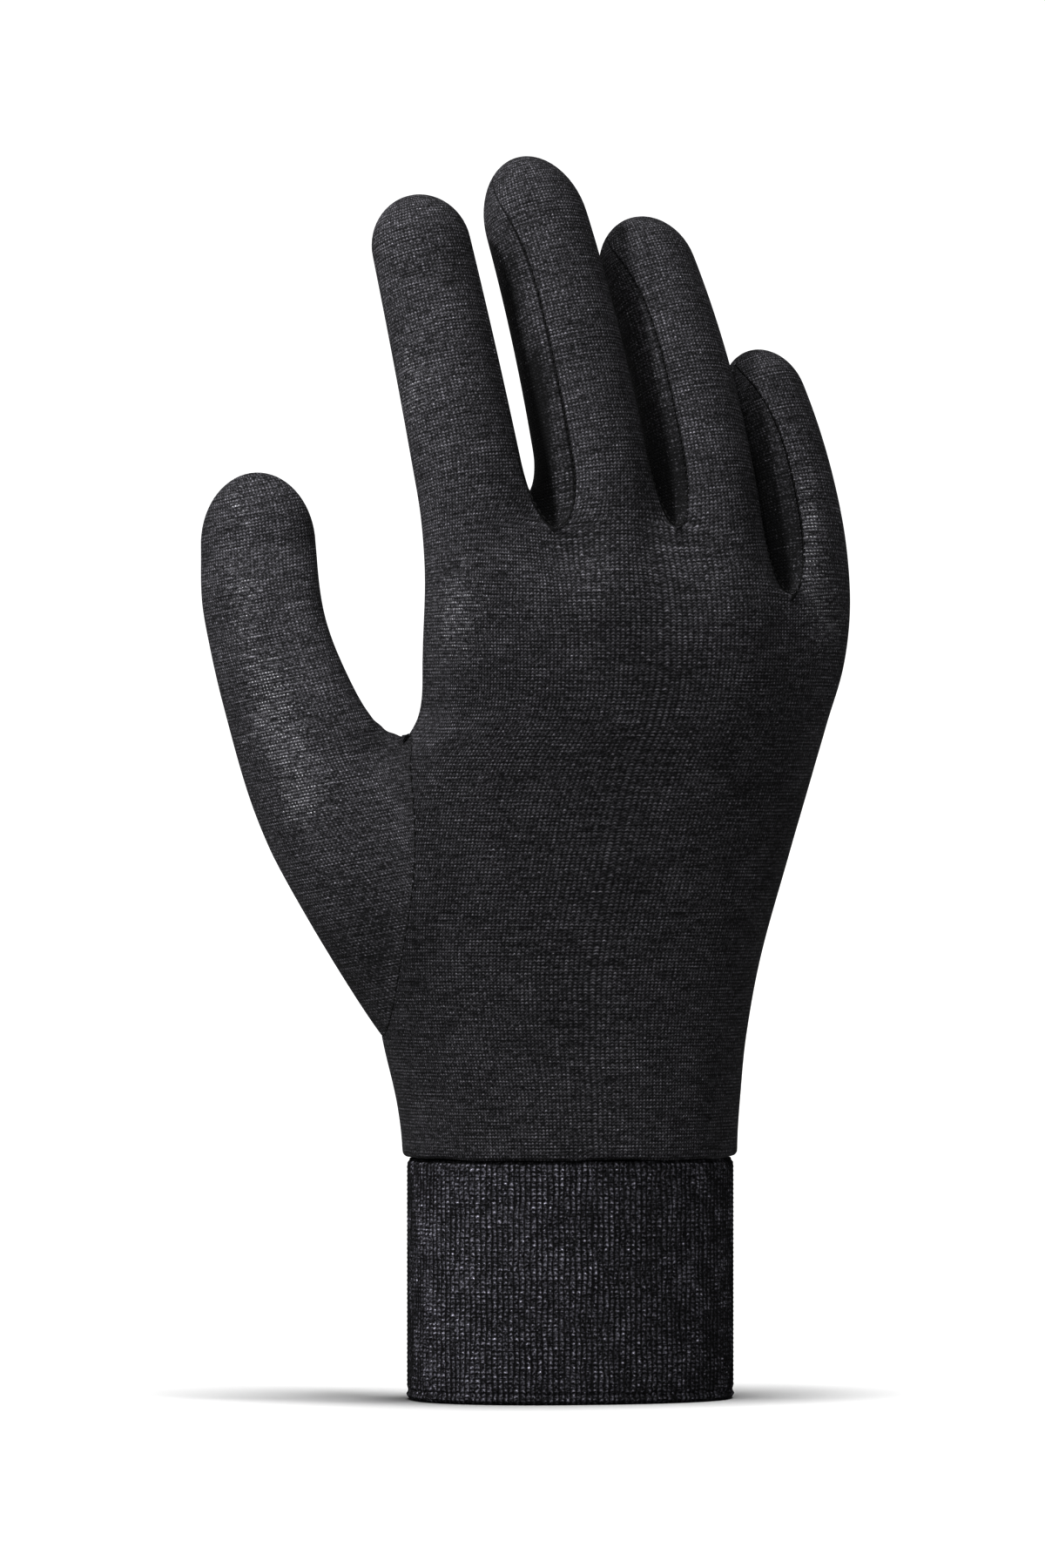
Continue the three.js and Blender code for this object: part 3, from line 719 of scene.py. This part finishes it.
def panel_strip(i, palm):
    """One finger's strip of the back or the palm, from the cuff to the fingertip, and its knit places.

    Its points blend the hand's section with the finger's by finger_share. Its seam edges are rolled in
    by round_in, and its foot swells over the cuff and hangs in a few sine waves round the hand.
    """
    finger = fingers[i]
    sides = (i + 1, i) if palm else (i, i + 1)
    columns = round(finger.width * column_crowding / cloth_step)
    near = edge_step / finger.width
    edge_columns = np.array([0, near, 2 * near])
    inner_columns = np.linspace(inner_start * near, 1 - inner_start * near, columns)
    column = np.concatenate([edge_columns, inner_columns, 1 - edge_columns[::-1]])
    crotch = [0 < k < len(forks) - 1 for k in sides]
    ends = [height_at(forks[k].up) + (web_rise if palm and at else 0) for k, at in zip(sides, crotch)]
    fork = mix(ends[0], ends[1], smooth(column, 0, 1))
    cap_foot = finger_tip(i) - cap_length(i)
    foot_rows = hand_foot + np.array([0, 0.15, 0.45, 0.9])
    up_hand = np.linspace(0, 1, round(hand_length / cloth_step))[:, None]
    up_finger = np.linspace(0, 1, round(finger.length / cloth_step))[1:, None] ** row_crowding
    up_cap = np.sin(np.pi / 2 * np.linspace(0, 1, cap_rows)[1:, None]) * (1 - tip_pinhole**2)
    height = np.concatenate([
        np.broadcast_to(foot_rows[:-1, None], (len(foot_rows) - 1, len(column))),
        mix(foot_rows[-1], fork, up_hand),
        mix(fork, cap_foot, up_finger),
        np.broadcast_to(cap_foot + cap_length(i) * up_cap, (len(up_cap), len(column))),
    ])
    cloth, share, hand_around, finger_around = panel_surface(i, palm, height, fork, column, crotch)
    own_out = np.clip(share * 5, 0, 1)
    normals = mix(hand_out(height, hand_around), out_of(cloth), own_out)
    cloth = cloth + normals * hand_relief(height, hand_around, palm)[..., None] * (1 - relief_fade * share)

    across = distance(cloth, 1)
    above = height > fork
    first_seam = above | (sides[0] in (0, len(forks) - 1))
    last_seam = above | (sides[1] in (0, len(forks) - 1))
    roll = np.where(first_seam, round_in(across, seam_roll), 0)
    roll += np.where(last_seam, round_in(across[:, -1:] - across, seam_roll), 0)
    low = height - hand_foot
    roll += round_in(low, foot_roll) * foot_roll_share
    roll -= foot_swell * np.exp(-((low / foot_swell_up) ** 2))
    cloth = cloth - normals * roll[..., None]
    wave = 2 + np.sin(np.radians(hand_around) * 5 + 1) + np.sin(np.radians(hand_around) * 11)
    cloth[..., 2] += (foot_wave * wave - foot_drop) * np.exp(-low / foot_wave_up) * (1 - share[..., 0])

    on_finger = finger_middle(i, palm) + finger_around * finger.width * np.pi / 360
    wales = mix(hand_around * knit_per_degree, on_finger, share[..., 0])
    return cloth, np.stack([wales, height], -1)


def finger_middle(i, palm):
    """Knit place of a finger's middle wale less that of its own angle there."""
    middle = mix(forks[i].around, forks[i + 1].around, 0.5)
    if palm:
        return (180 - middle) * knit_per_degree - 180 * fingers[i].width * np.pi / 360
    return middle * knit_per_degree


# Fine jersey of a charcoal yarn: matt and soft, with small V stitches and slubs along the courses. Its
# wales are 0.58 mm apart on the real cloth and are drawn at 0.75 mm so that they show.
jersey_knit = knitted(
    "charcoal jersey knit", wale=0.75, course=0.66, slant=0.5, relief=0.14, ridge=0.7, beading=0.7,
    wander=0.6, dark="050506", light="535256", gap=0.1, uneven=1.15, chance=0.25, grain=1.6, specks=2.0,
    open_stitch=0.8,
)

for name, palm in (("back_panel", False), ("palm_panel", True)):
    panel = stitch(f"knitted_{name}", [panel_strip(i, palm) for i in range(len(fingers))], knit_wall)
    panel.data.materials.append(jersey_knit)
    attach(panel, "root")
    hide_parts(name)

# FOURCHETTES
# Narrow strips of the same jersey between the fingers. Each runs down the side of one finger, through
# the crotch and up the next, and gives the fingers their depth.
web_sag = 3.5
web_gap = 0.35
strip_step = 0.7
strip_crowding = 1.7
strip_roll = 0.5
strip_columns = 16
strip_knit_width = 12
strip_knit_apart = 40

# Painted shade deep in the crotches and down the fingers' sides, on these strips alone, and a painted lit
# band beside the middle finger's seam, where the stitches are opened pale
painted_strip_light_and_shade = [
    OpenedOrShaded("index_middle", -5, 184, 9, 20, -9.0),
    OpenedOrShaded("middle_pocket_low", -5.8, 194, 1.9, 10, -6.0),
    OpenedOrShaded("middle_pocket", -7.8, 206, 2.2, 9, -8.0),
    OpenedOrShaded("middle_finger", -12.3, 223, 2.2, 11, -8.0),
    # Painted light: a lit band beside the seam, drawn by opening the stitches pale
    OpenedOrShaded("middle_seam_low", -2.2, 187, 1.6, 9, 6.5),
    OpenedOrShaded("middle_seam", -3.6, 198, 1.5, 7, 4.0),
    OpenedOrShaded("middle_ring", 19, 184, 8, 19, -9.0),
    OpenedOrShaded("ring_finger", 11.5, 212, 4, 22, -5.0),
    OpenedOrShaded("ring_little", 41, 170, 8, 19, -9.0),
    OpenedOrShaded("little_finger", 38.5, 193, 4.5, 16, -4.0),
]


def fourchette(i):
    """The strip between finger i and the next, from one fingertip through the crotch to the other.

    Columns run from the palm to the back. The web of the crotch is a straight line between the hand's
    two faces that sags by a sine, blended with the fingers' sides by finger_share.
    """
    fork = forks[i + 1]
    halves = []
    column = np.array([0, 0.04, *np.linspace(0.08, 0.92, strip_columns), 0.96, 1])
    depth = hand_section(np.array(height_at(fork.up)))[2] * 2
    edge_share = web_gap / depth
    in_depth = mix(1 - edge_share, edge_share, column)
    crotch = height_at(fork.up) + web_rise * in_depth - web_sag * np.sin(np.pi * in_depth)
    for f, sense in ((i, 1), (i + 1, -1)):
        up = np.linspace(0, 1, round(fingers[f].length / strip_step))[:, None]
        height = mix(crotch, strip_end(f), up**strip_crowding)
        web = mix(hand_point(height, fork.around), hand_point(height, 180 - fork.around), in_depth[:, None])
        half = np.maximum(90 - strip_edge(f, height) - gap_angle(f, height), 0)
        around = (90 + half * (1 - 2 * column)) * sense
        share = finger_share(height - crotch, 1)[..., None]
        cloth = mix(web, finger_point(f, height, around), share)
        wales = column * strip_knit_width + strip_knit_apart * f
        place = np.stack(np.broadcast_arrays(wales, height), -1)
        halves.append((cloth, place))
    down, rise = halves
    cloth = np.concatenate([down[0][::-1], rise[0][1:]])
    place = np.concatenate([down[1][::-1], rise[1][1:]])
    across = distance(cloth, 1)
    roll = round_in(across, strip_roll) + round_in(across[:, -1:] - across, strip_roll)
    return cloth - out_of(cloth) * roll[..., None], place


for i in range(last_finger):
    name = f"fourchette_{forks[i + 1].name}"
    strip = stitch(f"knitted_{name}", [fourchette(i)], knit_wall, painted_strip_light_and_shade)
    strip.data.materials.append(jersey_knit)
    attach(strip, "root")
    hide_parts(name)

# THUMB
# A closed bag of the same jersey, sewn into an oval opening at the side of the hand. It leans out and
# back, and its cloth gathers into a few creases in the crotch beside the hand.
thumb_out = 41.5
thumb_rise = 113.5
thumb_depth = 28
thumb_back = 23
thumb_tip = 15
thumb_body = 0.86
thumb_blend = 0.3
thumb_roll = 0.55
thumb_wall = 0.4
thumb_rows = 110
thumb_cap_rows = 18
thumb_columns = 120
knit_lean = 0.2

# Creases in the thumb's crotch, in mm: their place, how far past it the gathers are deepest, how far these
# reach across and up, how deep a crease is, how it slopes, and the distance from one to the next
crease_across = -38.3
crease_up = 133
crease_past = 2
crease_wide = 5.5
crease_tall = 3.6
crease_deep = 0.45
crease_slope = 0.33
crease_pitch = 3.2

# The thumb's inner and outer edges as shares of its reach out and up, its half depth and its way back
ThumbSection = namedtuple("ThumbSection", "at inner_out inner_up outer_out outer_up deep back")
thumb_sections = [
    ThumbSection(0.0, -0.13, 0.535, 0.01, 0.0, 0.4, 0.0),
    ThumbSection(0.1, -0.065, 0.53, 0.205, 0.106, 0.46, 0.06),
    ThumbSection(0.22, 0.022, 0.552, 0.42, 0.248, 0.5, 0.15),
    ThumbSection(0.38, 0.128, 0.6, 0.61, 0.404, 0.5, 0.3),
    ThumbSection(0.56, 0.236, 0.678, 0.764, 0.592, 0.46, 0.5),
    ThumbSection(0.7, 0.299, 0.741, 0.843, 0.71, 0.42, 0.65),
    ThumbSection(0.82, 0.332, 0.8, 0.88, 0.785, 0.4, 0.78),
    ThumbSection(1.0, 0.356, 0.887, 0.89, 0.88, 0.38, 1.0),
]


def thumb_bag():
    """The thumb as one grid from its seam to the tip, closed round.

    Each row is an oval between the thumb's inner and outer edges. Near the seam it is blended with the
    oval opening on the hand, and the tip is a half round end. The creases are a cosine within a Gaussian.
    """
    row = np.concatenate([
        np.linspace(0, thumb_body, thumb_rows)[:-1],
        thumb_body + (1 - thumb_body) * np.linspace(0, 1, thumb_cap_rows),
    ])[:, None]
    turn = -np.linspace(0, 2 * np.pi, thumb_columns + 1)[None, :]
    in_front = np.sin(turn) >= 0
    height = height_at(0) + hole_low + hole_length / 2 * (1 + np.cos(turn)) - seam_gap * np.cos(turn)
    reach = np.abs(np.sin(turn)) * (np.where(in_front, hole_front, hole_back) - side_gap)
    seam = hand_point(height, -side_seam + np.where(in_front, reach, -reach))
    at = np.minimum(row / thumb_body, 1)

    def edge(out, up):
        foot = hand_point(np.array(height_at(0) + hole_low), -side_seam)
        return np.stack([
            foot[0] - follow(thumb_sections, out, at) * thumb_out,
            foot[1] + follow(thumb_sections, "back", at) * thumb_back,
            foot[2] + follow(thumb_sections, up, at) * thumb_rise,
        ], -1)

    inner, outer = edge("inner_out", "inner_up"), edge("outer_out", "outer_up")
    middle, half = (inner + outer) / 2, (inner - outer) / 2
    tipward = np.stack([-half[..., 2], 0 * half[..., 0], half[..., 0]], -1)
    tipward *= np.sign(half[..., :1]) / np.linalg.norm(tipward, axis=-1, keepdims=True)
    into_cap = np.clip((row - thumb_body) / (1 - thumb_body), 0, 1)[..., None] * np.pi / 2
    face = np.array([np.sin(np.radians(hand_turn)), -np.cos(np.radians(hand_turn)), 0])
    deep = follow(thumb_sections, "deep", at)[..., None] * thumb_depth
    body = (
        middle
        + half * np.cos(into_cap) * np.cos(turn)[..., None]
        + face * deep * np.cos(into_cap) * np.sin(turn)[..., None]
        + tipward * thumb_tip * np.sin(into_cap)
    )
    cloth = mix(seam, body, smooth(at, 0, thumb_blend)[..., None])
    normals = out_of(cloth)
    normals[:, 0] = normals[:, -1] = (normals[:, 1] + normals[:, -2]) / 2
    off_across, off_up = cloth[..., 0] - crease_across, cloth[..., 2] - crease_up
    fading = ((off_across + crease_past) / crease_wide) ** 2 + (off_up / crease_tall) ** 2
    gathered = np.exp(-fading) * in_front
    phase = 2 * np.pi * (off_up - crease_slope * off_across) / crease_pitch
    crease = -crease_deep * gathered * np.cos(phase)
    rolled = round_in(distance(cloth, 0), thumb_roll) * smooth(np.abs(np.sin(turn)), 0.1, 0.5)
    cloth = cloth + normals * (crease - rolled)[..., None]
    around = distance(cloth, 1)
    front_middle = around[:, [3 * thumb_columns // 4]]
    place = np.stack([around - front_middle, cloth[..., 2] - knit_lean * cloth[..., 0]], -1)
    return cloth, place


# The bag is flat where it leaves the top of its opening, so its wall is drawn thinner than it is.
thumb = stitch("knitted_thumb", [thumb_bag()], thumb_wall)
thumb.data.materials.append(jersey_knit)
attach(thumb, "root")
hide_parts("thumb")

# SEAM STITCHES
# Short dark stitches of sewing yarn lie along each seam on the back of the glove: down the thumb's, and
# from each crotch up the side of the next finger.
thread = 0.15
stitch_share = 0.62
stitch_lift = 0.03
stitch_dip = 0.16
stitch_rows = 5
stitch_sides = 5
thumb_pitch = 2.2
crotch_pitch = 1.6
first_side_up = 12
inward_share = 0.06
crotch_samples = 160
thumb_samples = 200


def sewn_seam(path, out, pitch):
    """A small arched tube along the seam at every pitch of its path, as one grid for each stitch.

    The arch is a parabola whose ends dip into the cloth. No stitch runs past the end of the path.
    """
    length = distance(path, 0)
    places = np.arange(pitch / 2, length[-1] - pitch / 2, pitch)[:, None]
    arc = np.linspace(-1, 1, stitch_rows)
    along = places + arc * stitch_share * pitch / 2

    def at(values, where):
        return np.stack([np.interp(where, length, values[:, k]) for k in range(3)], -1)

    up = at(out, along)
    step = 0.1
    onward = at(path, along + step) - at(path, along - step)
    across = np.cross(onward, up)
    across /= np.linalg.norm(across, axis=-1, keepdims=True)
    middle = at(path, along) + up * (stitch_lift - stitch_dip * arc[:, None] ** 2)
    turn = np.linspace(0, 2 * np.pi, stitch_sides + 1)[:, None]
    middle, up, across = (part[..., None, :] for part in (middle, up, across))
    return middle + thread * (across * np.sin(turn) + up * np.cos(turn))


def crotch_seam(i):
    """Path of the seam from low on finger i, through its crotch and up the next one, and its normals."""
    halves = []
    fork = height_at(forks[i + 1].up)
    far_top = finger_tip(i + 1) - cap_length(i + 1)
    for f, column, top in ((i, 1.0, fork + first_side_up), (i + 1, 0.0, far_top)):
        height = mix(fork, top, np.linspace(0, 1, crotch_samples) ** strip_crowding)
        crotch = [0 < f, f < last_finger]
        at_edge = np.full_like(height, column)
        within = np.abs(at_edge - inward_share)
        halves.append([
            panel_surface(f, False, height, fork, columns, crotch)[0] for columns in (at_edge, within)
        ])
    edge, inner = (np.concatenate([down[::-1], rise[1:]]) for down, rise in zip(*halves))
    inward = inner - edge
    onward = np.gradient(edge, axis=0)
    out = np.cross(inward, onward)
    return edge, out / np.maximum(np.linalg.norm(out, axis=-1, keepdims=True), 1e-9)


def thumb_seam():
    """Path of the seam round the thumb's opening on the hand, and the hand's normals along it."""
    turn = np.linspace(0.15, np.pi - 0.05, thumb_samples)
    height = height_at(0) + hole_low + hole_length / 2 * (1 + np.cos(turn))
    reach = np.sin(turn) * hole_front
    return hand_point(height, -side_seam + reach), hand_out(height, -side_seam + reach)


seams = [sewn_seam(*thumb_seam(), thumb_pitch)]
seams += [sewn_seam(*crotch_seam(i), crotch_pitch) for i in range(last_finger)]
seam_stitches = stitch("seam_stitches", [(seam, np.zeros(2)) for seam in seams])
seam_yarn = blank("charcoal sewing yarn")
yarn = put(seam_yarn, "ShaderNodeBsdfPrincipled", {
    "Base Color": dye("060606"),
    "Roughness": 0.85,
    "Specular IOR Level": 0.2,
})
put(seam_yarn, "ShaderNodeOutputMaterial", {"Surface": yarn.outputs[0]})
seam_stitches.data.materials.append(seam_yarn)
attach(seam_stitches, "root")

# STUDIO
# A white floor that runs on to the horizon under broad, high daylight, with a small lamp near the thumb
# and a softer one in front. The camera is far off and level with the glove's middle.
eye_distance = 2000
eye_across = -9.79
eye_height = 125.5
seen_half_height = 160.2
sensor = 36
floor_reach = 30

floor_corners = [(x * floor_reach, y * floor_reach, 0) for x, y in ((-1, -1), (1, -1), (1, 1), (-1, 1))]
floor_mesh = bpy.data.meshes.new("floor")
floor_mesh.from_pydata(floor_corners, [], [(0, 1, 2, 3)])
floor = bpy.data.objects.new("floor", floor_mesh)
bpy.context.scene.collection.objects.link(floor)
paper = blank("white paper")
sheet = put(paper, "ShaderNodeBsdfDiffuse", {"Color": dye("f2f2f2")})
put(paper, "ShaderNodeOutputMaterial", {"Surface": sheet.outputs[0]})
floor_mesh.materials.append(paper)


def lamp(name, kind, place, aim, energy, size):
    """A soft light at a place in metres, turned towards aim."""
    light = bpy.data.lights.new(name, kind)
    light.energy = energy
    if kind == "AREA":
        light.shape = "DISK"
        light.size = size
    else:
        light.angle = np.radians(size)
    holder = bpy.data.objects.new(name, light)
    holder.location = place
    direction = holder.location.copy()
    direction -= type(direction)(aim)
    holder.rotation_euler = direction.to_track_quat("Z", "Y").to_euler()
    bpy.context.scene.collection.objects.link(holder)
    return holder


lamp("high daylight", "SUN", (0, -0.05, 1), (0, 0, 0), 3.9, 20)
near_thumb = lamp("near the thumb", "AREA", (-0.36, -0.31, 0.51), (0, 0, 0.17), 8.4, 0.07)
in_front = lamp("in front", "AREA", (-0.1, -0.7, 0.6), (0, 0, 0.17), 6.0, 0.25)

# Light linking keeps the two near lamps off the floor, so that the glove's soft shadow shows on it.
lit = bpy.data.collections.new("lit by the near lamps")
for piece in bpy.context.scene.objects:
    if piece.type == "MESH" and piece != floor:
        lit.objects.link(piece)
near_thumb.light_linking.receiver_collection = lit
in_front.light_linking.receiver_collection = lit

# The wall behind glows white where the camera looks, and the rest of the studio is dark, so that the
# little finger's side falls into shade.
world = bpy.data.worlds.new("studio")
world.use_nodes = True
bpy.context.scene.world = world
sight = put(world, "ShaderNodeTexCoord").outputs["Generated"]
toward = put(world, "ShaderNodeSeparateXYZ", {"Vector": sight}).outputs["Y"]
glow = put(world, "ShaderNodeMapRange", {
    "Value": toward,
    "From Min": 0.8,
    "From Max": 0.97,
    "To Min": 0.05,
    "To Max": 1.1,
}, interpolation_type="SMOOTHSTEP").outputs["Result"]
wall = world.node_tree.nodes["Background"]
world.node_tree.links.new(glow, wall.inputs["Strength"])
wall.inputs["Color"].default_value = (1, 1, 1, 1)

camera = bpy.data.objects.new("camera", bpy.data.cameras.new("camera"))
camera.location = (eye_across * mm, -eye_distance * mm, eye_height * mm)
camera.rotation_euler = (np.radians(90), 0, 0)
camera.data.sensor_width = sensor
camera.data.lens = sensor / 2 * eye_distance / seen_half_height
camera.data.clip_end = 100
bpy.context.scene.collection.objects.link(camera)
bpy.context.scene.camera = camera
# The photograph is printed with strong contrast: its blacks are deep and its paper is pure white.
bpy.context.scene.view_settings.view_transform = "Standard"
bpy.context.scene.view_settings.gamma = 0.75
